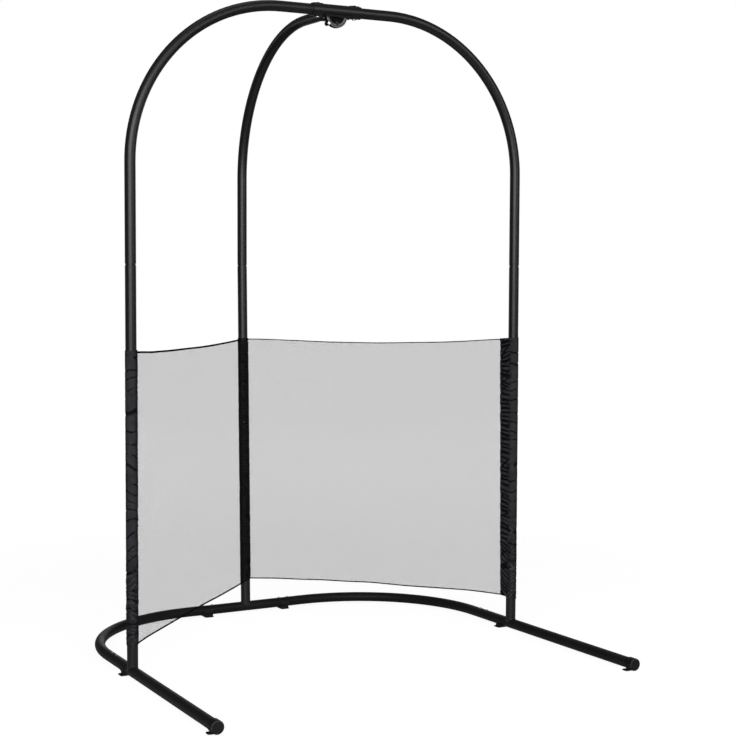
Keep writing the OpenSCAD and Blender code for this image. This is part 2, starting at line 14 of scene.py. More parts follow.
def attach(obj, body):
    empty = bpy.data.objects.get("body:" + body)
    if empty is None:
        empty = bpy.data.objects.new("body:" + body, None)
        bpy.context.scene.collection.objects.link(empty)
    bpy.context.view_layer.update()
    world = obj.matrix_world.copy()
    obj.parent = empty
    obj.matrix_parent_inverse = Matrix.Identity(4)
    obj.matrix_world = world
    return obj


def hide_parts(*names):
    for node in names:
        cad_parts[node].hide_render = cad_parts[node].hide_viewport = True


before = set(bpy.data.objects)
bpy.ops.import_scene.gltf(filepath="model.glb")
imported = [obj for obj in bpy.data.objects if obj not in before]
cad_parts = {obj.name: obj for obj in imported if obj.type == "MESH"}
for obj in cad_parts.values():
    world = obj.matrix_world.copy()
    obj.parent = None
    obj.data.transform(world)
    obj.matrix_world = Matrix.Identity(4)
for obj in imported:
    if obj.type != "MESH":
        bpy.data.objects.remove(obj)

Triple = tuple[float, float, float]
Colour = Triple
Band = tuple[float, float, float, float]
Curve = tuple[tuple[float, float], ...]

log = logging.getLogger("garden_frame")
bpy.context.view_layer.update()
RUN = "cloth_run"
# Name of the painted light and shade that the sleeve meshes carry, from 0 in a valley to 1 on a crest.
PAINTED_SHADE = "cloth_painted_shade"
SIDES = ("left", "right")
LEGS = (*SIDES, "back")


class Leg(Enum):
    """The three legs, each with its side as a sign: the back leg stands in the middle."""

    LEFT = -1
    BACK = 0
    RIGHT = 1


class Slot(Enum):
    """Names of material slots that each of the scene's own pieces is handed."""

    POWDER_COAT = "black_powder_coat"
    NET = "net_mesh"
    CLOTH = "sleeve_cloth"
    TAPE = "hem_tape"


# ---------- node trees ----------


class Wire:
    """One output of a finish's node tree. Arithmetic on it adds Math nodes."""

    def __init__(self, tree: "Tree", socket: bpy.types.NodeSocket) -> None:
        """Wraps an output socket of a tree."""
        self.tree = tree
        self.socket = socket

    def math(
        self, operation: str, *others: "Wire | float", first: "Wire | float | None" = None, clamp: bool = False
    ) -> "Wire":
        """Adds one Math node that starts from this wire.

        Args:
            operation: The Math node's operation.
            others: The operands after this one.
            first: An operand to put before this wire, for reflected operators.
            clamp: Whether the result is kept from 0 to 1.

        Returns:
            The result's wire.
        """
        operands = [self, *others] if first is None else [first, self, *others]
        settings = {"operation": operation, "use_clamp": clamp}
        return self.tree.add("ShaderNodeMath", settings, dict(enumerate(operands)))

    def __add__(self, other: "Wire | float") -> "Wire":
        """Sum."""
        return self.math("ADD", other)

    def __radd__(self, other: float) -> "Wire":
        """Sum with a number in front."""
        return self.math("ADD", first=other)

    def __sub__(self, other: "Wire | float") -> "Wire":
        """Difference."""
        return self.math("SUBTRACT", other)

    def __rsub__(self, other: float) -> "Wire":
        """Difference from a number."""
        return self.math("SUBTRACT", first=other)

    def __mul__(self, other: "Wire | float") -> "Wire":
        """Product."""
        return self.math("MULTIPLY", other)

    def __rmul__(self, other: float) -> "Wire":
        """Product with a number in front."""
        return self.math("MULTIPLY", first=other)

    def __truediv__(self, other: "Wire | float") -> "Wire":
        """Quotient."""
        return self.math("DIVIDE", other)

    def __pow__(self, other: "Wire | float") -> "Wire":
        """Power."""
        return self.math("POWER", other)

    def larger(self, other: "Wire | float") -> "Wire":
        """The larger of the two."""
        return self.math("MAXIMUM", other)

    def clamped(self) -> "Wire":
        """The value kept from 0 to 1."""
        return self.math("ADD", 0.0, clamp=True)

    def triangle(self, pitch: float) -> "Wire":
        """A wave that is 0 on each multiple of pitch and 1 halfway between two of them."""
        return self.math("PINGPONG", pitch / 2) / (pitch / 2)

    def step(self, start: float, end: float, low: float = 0.0, high: float = 1.0) -> "Wire":
        """A smooth step.

        Args:
            start: The value at which the step starts.
            end: The value at which it ends; it may be below start.
            low: The result before the step.
            high: The result after it.

        Returns:
            The result's wire.
        """
        sockets = {"Value": self, "From Min": start, "From Max": end, "To Min": low, "To Max": high}
        return self.tree.add("ShaderNodeMapRange", {"interpolation_type": "SMOOTHSTEP"}, sockets)

    def band(self, start: float, full: float, fading: float, end: float) -> "Wire":
        """1 from full to fading, and 0 below start and above end."""
        return self.step(start, full) * self.step(end, fading)


class Tree:
    """The node tree of one material, or of the world, built from Python expressions."""

    def __init__(self, name: str, world: bool = False) -> None:
        """Makes an empty material or world.

        Args:
            name: Its name.
            world: Whether it is a world, where the place is a direction.
        """
        self.material = (bpy.data.worlds if world else bpy.data.materials).new(name)
        self.material.use_nodes = True
        self.nodes = self.material.node_tree.nodes
        self.links = self.material.node_tree.links
        self.nodes.clear()
        self.end = "ShaderNodeOutputWorld" if world else "ShaderNodeOutputMaterial"
        self.place = self.add("ShaderNodeTexCoord", output="Generated" if world else "Object")

    def add(
        self,
        kind: str,
        settings: Mapping[str, Any] | None = None,
        sockets: Mapping[int | str, Any] | None = None,
        output: int | str = 0,
    ) -> Wire:
        """Adds a node of any type.

        Args:
            kind: The node's type.
            settings: Its properties, set before its sockets.
            sockets: Values or wires of its inputs, by index or name.
            output: The output to hand back, by index or name.

        Returns:
            That output's wire.
        """
        node = self.nodes.new(kind)
        for key, value in (settings or {}).items():
            setattr(node, key, value)
        for key, value in (sockets or {}).items():
            if isinstance(value, Wire):
                self.links.new(value.socket, node.inputs[key])
            else:
                node.inputs[key].default_value = value
        return Wire(self, node.outputs[output])

    def noise(self, size: float, detail: float = 2.0, at: Wire | None = None, roughness: float = 0.5) -> Wire:
        """Soft noise whose features are about size metres across."""
        sockets = {"Vector": at or self.place, "Scale": 1 / size, "Detail": detail, "Roughness": roughness}
        return self.add("ShaderNodeTexNoise", None, sockets)

    def stretched(self, x: float, y: float, z: float) -> Wire:
        """The place, scaled along each axis."""
        return self.add("ShaderNodeVectorMath", {"operation": "MULTIPLY"}, {0: self.place, 1: (x, y, z)})

    def mark(self, name: str, output: str = "Vector") -> Wire:
        """What each point of a mesh carries under a name."""
        return self.add("ShaderNodeAttribute", {"attribute_name": name}, output=output)

    def facing(self) -> Wire:
        """The direction that the surface faces."""
        return self.add("ShaderNodeNewGeometry", output="Normal")

    def reach(self, vector: Wire, way: Triple) -> Wire:
        """How far a vector reaches in a direction."""
        return self.add("ShaderNodeVectorMath", {"operation": "DOT_PRODUCT"}, {0: vector, 1: way}, output="Value")

    def axes(self, vector: Wire) -> tuple[Wire, Wire, Wire]:
        """The three numbers of a vector."""
        node = self.add("ShaderNodeSeparateXYZ", None, {0: vector}).socket.node
        return tuple(Wire(self, socket) for socket in node.outputs)

    def blend(self, factor: Wire | float, first: Wire | Colour, second: Wire | Colour) -> Wire:
        """Mixes two colours by a factor."""
        sockets = {0: factor, 6: opaque(first), 7: opaque(second)}
        return self.add("ShaderNodeMix", {"data_type": "RGBA"}, sockets, output=2)

    def bump(self, height: Wire, depth: float, under: Wire | None = None) -> Wire:
        """A bump of that height in metres.

        Args:
            height: The height, from 0 to 1.
            depth: What 1 stands for, in metres.
            under: A normal to bump further.

        Returns:
            The normal's wire.
        """
        sockets: dict[str, Any] = {"Strength": 1.0, "Distance": depth, "Height": height}
        if under is not None:
            sockets["Normal"] = under
        return self.add("ShaderNodeBump", None, sockets)

    def surface(self, **sockets: Any) -> bpy.types.Material:
        """Ends the tree in a Principled shader.

        Args:
            sockets: Its inputs, with _ for each space in a name.

        Returns:
            The finished material.
        """
        named = {key.replace("_", " "): value for key, value in sockets.items()}
        self.end_in(self.add("ShaderNodeBsdfPrincipled", None, named))
        return self.material

    def end_in(self, shader: Wire) -> None:
        """Links a shader to the tree's output."""
        self.links.new(shader.socket, self.nodes.new(self.end).inputs["Surface"])


def opaque(colour: Wire | Colour) -> Any:
    """A colour of three numbers with its alpha added; a wire is handed back as it is."""
    return colour if isinstance(colour, Wire) else (*colour, 1.0)


def scaled(colour: Colour, factor: float) -> Colour:
    """A colour made brighter or darker by a factor."""
    return tuple(factor * c for c in colour)


# ---------- finishes ----------


@dataclass(frozen=True)
class Finish:
    """A finish, made into a material once. Its sizes and depths are in metres."""

    name: str
    made: ClassVar[dict[str, bpy.types.Material]] = {}

    def material(self) -> bpy.types.Material:
        """The finish's material."""
        if self.name not in Finish.made:
            Finish.made[self.name] = self.build(Tree(self.name))
        return Finish.made[self.name]

    def build(self, tree: Tree) -> bpy.types.Material:
        """Builds the material in an empty tree."""
        raise NotImplementedError

    def dress(self, *objects: bpy.types.Object) -> None:
        """Puts the finish in every material slot of the objects."""
        for item in objects:
            if not item.material_slots:
                item.data.materials.append(self.material())
            for slot in item.material_slots:
                slot.material = self.material()


@dataclass(frozen=True)
class PowderCoat(Finish):
    """Baked powder coat: satin, faintly pebbled, with scuffs and a little dust on what faces up."""

    colour: Colour = (0.0095, 0.0097, 0.0104)
    dust: Colour = (0.07, 0.07, 0.068)
    gloss_roughness: float = 0.33
    mirror: float = 0.75
    cloud: float = 0.12
    pebble: float = 0.0016
    pebble_depth: float = 0.00005
    grain: float = 0.0004
    grain_depth: float = 0.000008
    scuff: float = 0.004
    dust_patch: float = 0.02

    def build(self, tree: Tree) -> bpy.types.Material:
        """Builds the coat."""
        cloudy = tree.noise(self.cloud, 3.0)
        pebbles = tree.noise(self.pebble, 2.0)
        grain = tree.noise(self.grain, 1.0)
        rubbed_and_painted_light = tree.noise(self.scuff, 4.0, tree.stretched(1.0, 1.0, 0.12)).step(0.62, 0.78)
        facing_up = tree.axes(tree.facing())[2].step(0.35, 1.0)
        settled = facing_up * tree.noise(self.dust_patch, 5.0).step(0.42, 0.75) * 0.10
        tone = tree.blend(cloudy.step(0.35, 0.65), scaled(self.colour, 0.86), self.colour)
        tone = tree.blend(rubbed_and_painted_light * 0.12, tone, self.dust)
        return tree.surface(
            Base_Color=tree.blend(settled, tone, self.dust),
            Roughness=self.gloss_roughness + cloudy * 0.06 + grain * 0.04 + settled * 0.8 - rubbed_and_painted_light * 0.05,
            Specular_IOR_Level=self.mirror,
            Normal=tree.bump(pebbles, self.pebble_depth, tree.bump(grain, self.grain_depth)),
        )


@dataclass(frozen=True)
class MouldedPlastic(Finish):
    """Black moulded plastic with a fine spark grain, paler where the ground rubs it."""

    colour: Colour = (0.018, 0.0185, 0.0195)
    wear_and_painted_front: Colour = (0.11, 0.11, 0.108)
    spark: float = 0.0006
    flow: float = 0.02
    scuff: float = 0.003
    speck: float = 0.0015
    rubbed_below: float = 0.006

    def build(self, tree: Tree) -> bpy.types.Material:
        """Builds the plastic."""
        spark = tree.noise(self.spark, 3.0, roughness=0.7)
        flow = tree.noise(self.flow, 2.0, tree.stretched(1.0, 1.0, 0.3))
        height = tree.axes(tree.place)[2]
        scuffed = height.step(self.rubbed_below, 0.0) * tree.noise(self.scuff, 4.0).step(0.45, 0.62) * 0.5
        speckle = tree.noise(self.speck, 2.0).step(0.66, 0.74) * 0.18
        return tree.surface(
            Base_Color=tree.blend((scuffed + speckle).clamped(), self.colour, self.wear_and_painted_front),
            Roughness=0.46 + spark * 0.12 + flow * 0.06,
            Specular_IOR_Level=0.35,
            Normal=tree.bump(spark, 0.00004, tree.bump(flow, 0.0001)),
        )


@dataclass(frozen=True)
class CapPlastic(Finish):
    """Black plastic of the end caps and the block's cheeks, with painted light: the face that looks ahead takes a
    painted tone of its own, and a painted highlight band runs round its edge.

    The band is told by how squarely the surface faces ahead, and it shows only where the surface leans
    up by more than lit_from.
    """

    colour: Colour = (0.012, 0.012, 0.013)
    # Tone painted on the face that looks ahead: painted light where it is paler, painted shade where it is darker.
    wear_and_painted_front: Colour = (0.022, 0.0225, 0.024)
    # Colour of the painted highlight band round the edge.
    bright: Colour = (0.20, 0.20, 0.20)
    ring: Band = (0.80, 0.94, 0.985, 0.998)
    lit_from: float = -0.02
    gloss_roughness: float = 0.40
    mirror: float = 0.2
    spark: float = 0.0006
    patch: float = 0.004

    def build(self, tree: Tree) -> bpy.types.Material:
        """Builds the plastic."""
        spark = tree.noise(self.spark, 3.0, roughness=0.7)
        patchy = tree.noise(self.patch, 4.0)
        across, along, up = tree.axes(tree.facing())
        ahead = along * -1.0
        # Painted light: the face that looks ahead gets its painted tone, paler on the caps and darker as painted
        # shade in the block's recess; the band round the edge gets a painted highlight on its upper side.
        front = ahead.step(0.985, 0.998)
        edge = ahead.band(*self.ring) * (up - across * 0.5).step(self.lit_from, self.lit_from + 0.12)
        tone = tree.blend(front * (0.75 + 0.25 * patchy), self.colour, self.wear_and_painted_front)
        return tree.surface(
            Base_Color=tree.blend(edge * (0.6 + 0.4 * patchy), tone, self.bright),
            Roughness=self.gloss_roughness + spark * 0.10 + front * 0.08,
            Specular_IOR_Level=self.mirror,
            Normal=tree.bump(spark, 0.00003),
        )


@dataclass(frozen=True)
class PlatedSteel(Finish):
    """Zinc-plated steel: bright, a little cloudy, with fine turning lines."""

    colour: Colour = (0.66, 0.67, 0.69)
    stained: Colour = (0.40, 0.40, 0.39)
    gloss_roughness: float = 0.26
    cloud: float = 0.004
    turning: float = 0.0005

    def build(self, tree: Tree) -> bpy.types.Material:
        """Builds the plating."""
        cloudy = tree.noise(self.cloud, 3.0).step(0.35, 0.7)
        turned = tree.axes(tree.place)[2].triangle(self.turning)
        return tree.surface(
            Base_Color=tree.blend(cloudy * 0.5, self.colour, self.stained),
            Metallic=1.0,
            Roughness=self.gloss_roughness + cloudy * 0.16,
            Normal=tree.bump(turned, 0.000012),
        )


@dataclass(frozen=True)
class GalvanisedSteel(Finish):
    """Dip-galvanised steel with its crystal flakes."""

    dull: Colour = (0.42, 0.43, 0.44)
    bright: Colour = (0.62, 0.63, 0.65)
    flakes_per_metre: float = 160.0

    def build(self, tree: Tree) -> bpy.types.Material:
        """Builds the galvanising."""
        sockets = {"Vector": tree.place, "Scale": self.flakes_per_metre}
        shade = tree.axes(tree.add("ShaderNodeTexVoronoi", {"feature": "F1"}, sockets, output="Color"))[0]
        return tree.surface(
            Base_Color=tree.blend(shade, self.dull, self.bright),
            Metallic=1.0,
            Roughness=0.38 + shade * 0.2,
            Normal=tree.bump(tree.noise(0.001), 0.00002),
        )


@dataclass(frozen=True)
class BlackOxide(Finish):
    """Blackened steel of bolts and washers, with a faint oily sheen and bare metal coming through."""

    colour: Colour = (0.035, 0.035, 0.037)
    bare: Colour = (0.30, 0.30, 0.31)
    wear: float = 0.35
    patch: float = 0.0025

    def build(self, tree: Tree) -> bpy.types.Material:
        """Builds the blackening."""
        patchy = tree.noise(self.patch, 4.0)
        rubbed_and_painted_light = patchy.step(0.58, 0.72) * self.wear
        return tree.surface(
            Base_Color=tree.blend(rubbed_and_painted_light, self.colour, self.bare),
            Metallic=0.55 + rubbed_and_painted_light * 0.4,
            Roughness=0.34 + patchy * 0.2,
            Specular_IOR_Level=0.3,
            Normal=tree.bump(tree.noise(0.0005, 2.0), 0.00001),
        )


@dataclass(frozen=True)
class Nylon(Finish):
    """Turned nylon of the pulley wheel, faintly mottled."""

    colour: Colour = (0.10, 0.10, 0.105)
    mottle: float = 0.003

    def build(self, tree: Tree) -> bpy.types.Material:
        """Builds the nylon."""
        mottled = tree.noise(self.mottle, 3.0)
        return tree.surface(
            Base_Color=tree.blend(mottled.step(0.4, 0.7), self.colour, scaled(self.colour, 1.5)),
            Roughness=0.38 + mottled * 0.2,
            Subsurface_Weight=0.08,
            Normal=tree.bump(tree.noise(0.0006), 0.00002),
        )


@dataclass(frozen=True)
class Bronze(Finish):
    """Sintered bronze of the bush, with its pores."""

    pit: Colour = (0.16, 0.09, 0.04)
    colour: Colour = (0.55, 0.34, 0.15)
    pore: float = 0.0004

    def build(self, tree: Tree) -> bpy.types.Material:
        """Builds the bronze."""
        closed = tree.noise(self.pore, 2.0).step(0.35, 0.5)
        return tree.surface(
            Base_Color=tree.blend(closed, self.pit, self.colour),
            Metallic=1.0,
            Roughness=0.42 - closed * 0.1,
            Normal=tree.bump(closed, 0.00003),
        )


@dataclass(frozen=True)
class KnittedNet(Finish):
    """Fine square net: round threads that wander a little, with open cells between them."""

    colour: Colour = (0.012, 0.012, 0.013)
    pitch: float = 0.003
    thread: float = 0.24
    wander: float = 2.2
    weft_drift: float = 0.016
    warp_drift: float = 0.022

    def build(self, tree: Tree) -> bpy.types.Material:
        """Builds the net."""
        run = tree.mark(RUN)
        along, up, _ = tree.axes(run)
        weft_shift, warp_shift = (
            tree.noise(size, 2.0, run) * (self.wander * self.pitch) for size in (self.weft_drift, self.warp_drift)
        )
        weft = (up + weft_shift).triangle(self.pitch)
        warp = (along + warp_shift).triangle(self.pitch)
        soft = 0.25 * self.thread
        on_warp, on_weft = (w.step(self.thread - soft, self.thread + soft, 1.0, 0.0) for w in (warp, weft))
        knot = on_warp * on_weft
        crown = (1 - (warp / self.thread) ** 2).larger(1 - (weft / self.thread) ** 2).clamped()
        return tree.surface(
            # Painted highlight: lighter along each thread's crown and on the knots.
            Base_Color=tree.blend(knot * 0.4 + crown * 0.3, self.colour, scaled(self.colour, 2.0)),
            Roughness=0.62 + knot * 0.1,
            Specular_IOR_Level=0.3,
            Alpha=on_warp.larger(on_weft),
            Normal=tree.bump(crown, 0.0002),
        )


@dataclass(frozen=True)
class SleeveCloth(Finish):
    """Black woven polyester: a fine plain weave, sewn at each end, with painted light: fold crests that face the
    front lamps painted pale and valleys painted dark.
    """

    colour: Colour = (0.0008, 0.0008, 0.0010)
    # Painted light: the colour of fold crests that face the front lamps.
    painted_crest_light: Colour = (0.096, 0.096, 0.105)
    thread_colour: Colour = (0.05, 0.05, 0.052)
    yarn: float = 0.0007
    stitch_pitch: float = 0.0034
    stitch_row: Band = (0.0080, 0.0083, 0.0091, 0.0094)
    pulled_row: Band = (0.0076, 0.0087, 0.0087, 0.0098)
    cloud: float = 0.03
    sheen_roughness: float = 0.50
    mirror: float = 0.09
    # Direction of the front lamps, towards which the cloth is painted paler.
    lamp_way: Triple = (-0.49, -0.87, 0.0)

    def build(self, tree: Tree) -> bpy.types.Material:
        """Builds the cloth."""
        # Painted light and shade carried by the sleeve meshes, from 0 in a valley to 1 on a crest.
        relief = tree.mark(PAINTED_SHADE, "Fac")
        around, up, from_end = tree.axes(tree.mark(RUN))
        over = around.triangle(self.yarn) * up.triangle(2 * self.yarn)
        under = (around + self.yarn / 2).triangle(self.yarn) * (up + self.yarn).triangle(2 * self.yarn)
        weave = over.larger(under)
        stitch = from_end.band(*self.stitch_row) * around.triangle(self.stitch_pitch).step(0.2, 0.35)
        pulled = from_end.band(*self.pulled_row)
        patchy = 0.7 + 0.3 * tree.noise(self.cloud, 4.0).step(0.35, 0.65)
        # Painted light: cloth that faces the front lamps and stands high in the folds is painted pale; valleys and
        # creases are painted dark.
        facing_lamps = 0.30 + 0.70 * tree.reach(tree.facing(), self.lamp_way).step(0.15, 0.85)
        rubbed_and_painted_light = relief.step(0.15, 1.0) * patchy * facing_lamps
        tone = tree.blend(rubbed_and_painted_light * 0.85 + weave * 0.15, self.colour, self.painted_crest_light)
        return tree.surface(
            Base_Color=tree.blend(stitch * 0.6, tone, self.thread_colour),
            Roughness=self.sheen_roughness + (1 - rubbed_and_painted_light) * 0.25 - weave * 0.05,
            Specular_IOR_Level=self.mirror,
            Normal=tree.bump(stitch - pulled * 0.8, 0.0004, tree.bump(weave, 0.00010)),
        )


@dataclass(frozen=True)
class HemTape(Finish):
    """Narrow woven tape folded over the net's edge, with one row of stitches."""

    colour: Colour = (0.003, 0.003, 0.0033)
    thread_colour: Colour = (0.03, 0.03, 0.031)
    rib: float = 0.0011
    row_pitch: float = 0.0036
    stitch_pitch: float = 0.0042
    patch: float = 0.006

    def build(self, tree: Tree) -> bpy.types.Material:
        """Builds the tape."""
        along, across, _ = tree.axes(tree.mark(RUN))
        ribs = (along + across * 0.8).triangle(self.rib)
        row = across.triangle(self.row_pitch).step(0.55, 0.75)
        stitch = row * along.triangle(self.stitch_pitch).step(0.22, 0.34)
        wear_and_painted_front = tree.noise(self.patch, 4.0).step(0.5, 0.75)
        tone = tree.blend(wear_and_painted_front * 0.4 + ribs * 0.2, self.colour, scaled(self.colour, 1.8))
        return tree.surface(
            Base_Color=tree.blend(stitch * 0.4, tone, self.thread_colour),
            Roughness=0.8 - stitch * 0.15,
            Specular_IOR_Level=0.05,
            Normal=tree.bump(stitch, 0.0003, tree.bump(ribs, 0.00015)),
        )


TUBE_COAT = PowderCoat("tube_powder_coat")
# The base tubes: a paler, less glossy copy of the same black coat, as painted light.
BASE_COAT = PowderCoat("base_powder_coat", colour=(0.0165, 0.0167, 0.0175), gloss_roughness=0.40, mirror=0.22)
# The coped lips: the same coat painted much paler, as a painted highlight along each joint.
LIP_HIGHLIGHT_COAT = PowderCoat("lip_painted_highlight_coat", colour=(0.06, 0.06, 0.062), gloss_roughness=0.30)
BLOCK_COAT = PowderCoat(
    "block_coat",
    colour=(0.009, 0.009, 0.010),
    gloss_roughness=0.24,
    mirror=0.9,
    pebble=0.0011,
    pebble_depth=0.00003,
)
PLASTIC = MouldedPlastic("black_moulded_plastic")
# End caps: the face that looks ahead is painted paler as painted light, with a painted highlight on the upper side
# of its rounded edge.
CAP_PLASTIC = CapPlastic("cap_plastic")
# Block cheeks: the face that looks ahead is painted dark as painted shade in the recess, and a painted highlight
# runs all round the rim.
BLOCK_RIM = CapPlastic(
    "block_rim",
    colour=(0.008, 0.008, 0.009),
    wear_and_painted_front=(0.002, 0.002, 0.003),
    bright=(0.34, 0.34, 0.35),
    ring=(0.30, 0.62, 0.975, 0.995),
    lit_from=-2.0,
    gloss_roughness=0.30,
    mirror=0.08,
)
ZINC = PlatedSteel("zinc_plate")
BRIGHT_ZINC = PlatedSteel(
    "bright_zinc_plate", colour=(0.95, 0.96, 0.98), stained=(0.80, 0.80, 0.79), gloss_roughness=0.28
)
GALVANISED = GalvanisedSteel("galvanised")
BLACKENED = BlackOxide("black_oxide")
WHEEL_NYLON = Nylon("wheel_nylon_turned")
BUSH_BRONZE = Bronze("sintered_bronze")
NET = KnittedNet("square_net")
CLOTH = SleeveCloth("sleeve_polyester")
# The back sleeve: a darker copy of the cloth, as painted shade.
SHADED_CLOTH = SleeveCloth(
    "sleeve_polyester_painted_shade",
    colour=(0.0025, 0.0025, 0.003),
    painted_crest_light=(0.022, 0.022, 0.024),
    sheen_roughness=0.55,
    mirror=0.05,
)
TAPE = HemTape("woven_hem_tape")


# ---------- meshes, curves and noise ----------


def skin(
    name: str,
    rows: Sequence[Sequence[Vector]],
    runs: Sequence[Sequence[Triple]] | None = None,
    reliefs: Sequence[Sequence[float]] | None = None,
    looped: bool = False,
) -> bpy.types.Object:
    """A smooth mesh through a grid of points.

    Args:
        name: The piece's name.
        rows: Rows of points, all of one length.
        runs: Where each point is on the flat cloth, in metres, for the weave.
        reliefs: Painted light and shade at each point, from 0, painted dark in a valley, to 1, painted pale on a
            crest.
        looped: Whether the last row joins the first, and each row's last point its first.

    Returns:
        The object, linked to the scene.
    """
    bm = bmesh.new()
    grid = [[bm.verts.new(point) for point in row] for row in rows]
    count, width = len(grid), len(grid[0])
    open_end = 0 if looped else 1
    for r in range(count - open_end):
        below, above = grid[r], grid[(r + 1) % count]
        for c in range(width - open_end):
            bm.faces.new((below[c], below[(c + 1) % width], above[(c + 1) % width], above[c]))
    bmesh.ops.recalc_face_normals(bm, faces=bm.faces)
    mesh = bpy.data.meshes.new(name)
    bm.to_mesh(mesh)
    bm.free()
    mesh.shade_smooth()
    if runs is not None:
        attribute = mesh.attributes.new(RUN, "FLOAT_VECTOR", "POINT")
        attribute.data.foreach_set("vector", [value for row in runs for run in row for value in run])
    # Painted light and shade, carried for the cloth's colour.
    if reliefs is not None:
        attribute = mesh.attributes.new(PAINTED_SHADE, "FLOAT", "POINT")
        attribute.data.foreach_set("value", [value for row in reliefs for value in row])
    item = bpy.data.objects.new(name, mesh)
    bpy.context.scene.collection.objects.link(item)
    return item


def joined(name: str, items: Sequence[bpy.types.Object]) -> bpy.types.Object:
    """Joins meshes into one object.

    Args:
        name: The joined piece's name.
        items: The objects to join; they are used up.

    Returns:
        The joined object.
    """
    with bpy.context.temp_override(active_object=items[0], selected_editable_objects=list(items)):
        bpy.ops.object.join()
    items[0].name = name
    items[0].data.name = name
    return items[0]


def through(stations: Curve, at: float) -> float:
    """A smooth curve through stations.

    Args:
        stations: Pairs of place and value, in order of place.
        at: The place to read.

    Returns:
        The value there, on a cubic whose slope at a station is that of the line between its neighbours.
    """
    at = min(max(at, stations[0][0]), stations[-1][0])
    last = len(stations) - 1
    i = next((k for k in range(last) if at <= stations[k + 1][0]), last - 1)

    def slope(k: int) -> float:
        """The curve's slope at a station."""
        before, after = stations[max(k - 1, 0)], stations[min(k + 1, last)]
        return (after[1] - before[1]) / (after[0] - before[0])

    (start, low), (end, high) = stations[i], stations[i + 1]
    width = end - start
    t = (at - start) / width
    ends = low * (1 + 2 * t) * (1 - t) ** 2 + high * t * t * (3 - 2 * t)
    return ends + width * (slope(i) * t * (1 - t) ** 2 - slope(i + 1) * t * t * (1 - t))


def ripple(*place: float) -> float:
    """Even noise from -1 to 1 at a place of up to three numbers."""
    return noise.noise(Vector((*place, 0.37, 0.73)[:3]))


def spread(count: int, start: float, end: float) -> list[float]:
    """That many numbers, evenly spaced from start to end."""
    return [start + (end - start) * i / (count - 1) for i in range(count)]


def hemmed(count: int, hem: float) -> list[tuple[float, bool]]:
    """Shares of a sleeve's height from 0 to 1, with one more at each end for the hem that is turned in.

    Args:
        count: How many rows the outside has.
        hem: Depth of the turned-in hem, as a share of the height.

    Returns:
        Each row's share of the height, and whether it lies inside the sleeve.
    """
    return [(hem, True), *((share, False) for share in spread(count, 0.0, 1.0)), (1 - hem, True)]


def notch(value: float, width: float) -> float:
    """1 where a value is 0, falling off to 0 at about twice the width."""
    return math.exp(-((value / width) ** 2))


def unit(value: float) -> float:
    """A number kept from 0 to 1."""
    return min(1.0, max(0.0, value))


def eased(value: float) -> float:
    """A number kept from 0 to 1 and smoothed at both ends."""
    value = unit(value)
    return value * value * (3 - 2 * value)


# ---------- sizes ----------


@dataclass(frozen=True)
class Stance:
    """Where the frame's legs and joints stand, in metres."""

    leg_x: float = 0.779
    leg_y: float = -0.035628
    back_depth: float = 0.770
    base_lift: float = 0.025
    tube_r: float = 0.019
    back_lean: float = math.radians(1.3)
    splay: float = math.radians(1.0)
    net_angle: float = math.radians(45.17)
    net_run: float = 1.1049

    def foot(self, leg: Leg) -> Vector:
        """The middle of a leg where it meets the base tubes."""
        if leg is Leg.BACK:
            return Vector((0, self.leg_y + self.back_depth, self.base_lift))
        return Vector((leg.value * self.leg_x, self.leg_y, self.base_lift))

    def panel_way(self, leg: Leg) -> Vector:
        """The level direction from a front leg along its net panel to the back leg."""
        return Vector((-leg.value * math.cos(self.net_angle), math.sin(self.net_angle), 0))

    def panel_out(self, leg: Leg) -> Vector:
        """The level direction square to a front leg's net panel."""
        way = self.panel_way(leg)
        return Vector((way.y, -way.x, 0))


STANCE = Stance()


# ---------- sub-assemblies ----------


@dataclass
class Piece:
    """What the scene's own pieces share."""

    body: ClassVar[str] = "frame"

    def settle(
        self, item: bpy.types.Object, finish: Finish, slot: Slot, stands_for: Sequence[str] = ()
    ) -> bpy.types.Object:
        """Finishes a piece: its material, its body and what it stands for.

        Args:
            item: The piece.
            finish: Its finish.
            slot: Not used.
            stands_for: The CAD nodes that it replaces.

        Returns:
            The piece.
        """
        finish.dress(item)
        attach(item, self.body)
        if stands_for:
            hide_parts(*stands_for)
        log.info("%s: %d faces", item.name, len(item.data.polygons))
        return item


@dataclass
class Dressing:
    """CAD nodes that keep their shape and get a finish."""

    finish: Finish
    nodes: tuple[str, ...]

    def dress(self) -> None:
        """Dresses the nodes."""
        self.finish.dress(*(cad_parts[name] for name in self.nodes))
        log.info("%s on %s", self.finish.name, ", ".join(self.nodes))


@dataclass
class CopedEdge(Piece):
    """The rounded lip of a lower leg's coped end, where it sits on its base tube, coated pale as a painted
    highlight along the joint.
    """

    leg: Leg
    lip: float = 0.0008
    clearance: float = 0.0003
    stations: int = 96
    sides: int = 8

    def build(self) -> None:
        """Builds the lip along the saddle line."""
        radius = STANCE.tube_r + self.clearance
        back = self.leg is Leg.BACK
        turn = 0.0 if back else math.pi / 2 + self.leg.value * STANCE.splay
        across = Vector((math.sin(turn), -math.cos(turn), 0))
        foot = STANCE.foot(self.leg)
        tilt = Matrix.Rotation(-STANCE.back_lean if back else 0.0, 3, "X")
        line = []
        for i in range(self.stations):
            angle = math.tau * i / self.stations
            out = Vector((math.cos(angle), math.sin(angle), 0))
            aside = radius * out.dot(across)
            rise = math.sqrt(max(0.0, (radius + self.lip) ** 2 - aside**2))
            line.append((foot + tilt @ (radius * out + Vector((0, 0, rise))), out))
        turns = spread(self.sides + 1, 0, math.tau)[:-1]
        rows = []
        for i, (point, out) in enumerate(line):
            along = (line[(i + 1) % self.stations][0] - line[i - 1][0]).normalized()
            side = along.cross(out).normalized()
            rows.append([point + self.lip * (math.cos(a) * out + math.sin(a) * side) for a in turns])
        lip = skin(f"coped_lip_{self.leg.name.lower()}", rows, looped=True)
        self.settle(lip, LIP_HIGHLIGHT_COAT, Slot.POWDER_COAT)


